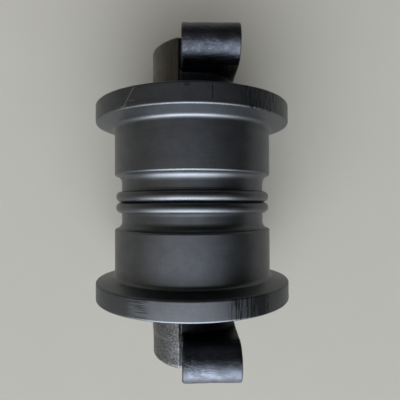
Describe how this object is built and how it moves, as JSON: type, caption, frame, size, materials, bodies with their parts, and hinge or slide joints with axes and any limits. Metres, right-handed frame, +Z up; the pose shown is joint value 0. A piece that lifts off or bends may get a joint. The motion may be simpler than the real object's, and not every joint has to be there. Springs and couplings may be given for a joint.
{
  "type": "track roller",
  "caption": "Two-flange track roller whose welded shell turns on a sealed, oil-filled shaft held by two cast collars with bolt bosses.",
  "frame": {"origin": "on the shaft's axis, midway between the two flanges, which is also the centre of the bounding box", "axes": "+Y along the shaft, +X towards the collars' mounting faces, +Z up as the roller lies on its two flanges"},
  "size_m": [0.19, 0.307, 0.19],
  "materials": {
    "shell_paint": "satin graphite paint over turned steel",
    "collar_paint": "glossy black paint over rough casting",
    "shaft_steel": "ground steel, painted over at its ends",
    "bushing_bronze": "sintered bronze on steel",
    "pin_steel": "hardened steel, lightly oiled",
    "seal_iron": "lapped white iron",
    "seal_rubber": "matt black nitrile rubber",
    "plug_steel": "zinc-plated steel",
    "washer_copper": "annealed copper"
  },
  "bodies": {
    "frame_side": {"shaft": "shaft_steel", "collar_a": "collar_paint", "collar_b": "collar_paint", "lock_pin_a": "pin_steel", "lock_pin_b": "pin_steel", "shaft_oring_a": "seal_rubber", "shaft_oring_b": "seal_rubber", "fixed_seal_ring_a": "seal_iron", "fixed_seal_ring_b": "seal_iron", "fixed_toric_a": "seal_rubber", "fixed_toric_b": "seal_rubber", "oil_plug": "plug_steel", "plug_washer": "washer_copper"},
    "shell": {"shell_half_a": "shell_paint", "shell_half_b": "shell_paint", "bushing_a": "bushing_bronze", "bushing_b": "bushing_bronze", "turning_seal_ring_a": "seal_iron", "turning_seal_ring_b": "seal_iron", "turning_toric_a": "seal_rubber", "turning_toric_b": "seal_rubber"}
  },
  "joints": [
    {"name": "shell_spin", "type": "hinge", "parent": "frame_side", "child": "shell", "pos_m": [0, 0, 0], "axis": [0, 1, 0], "continuous": true}
  ]
}
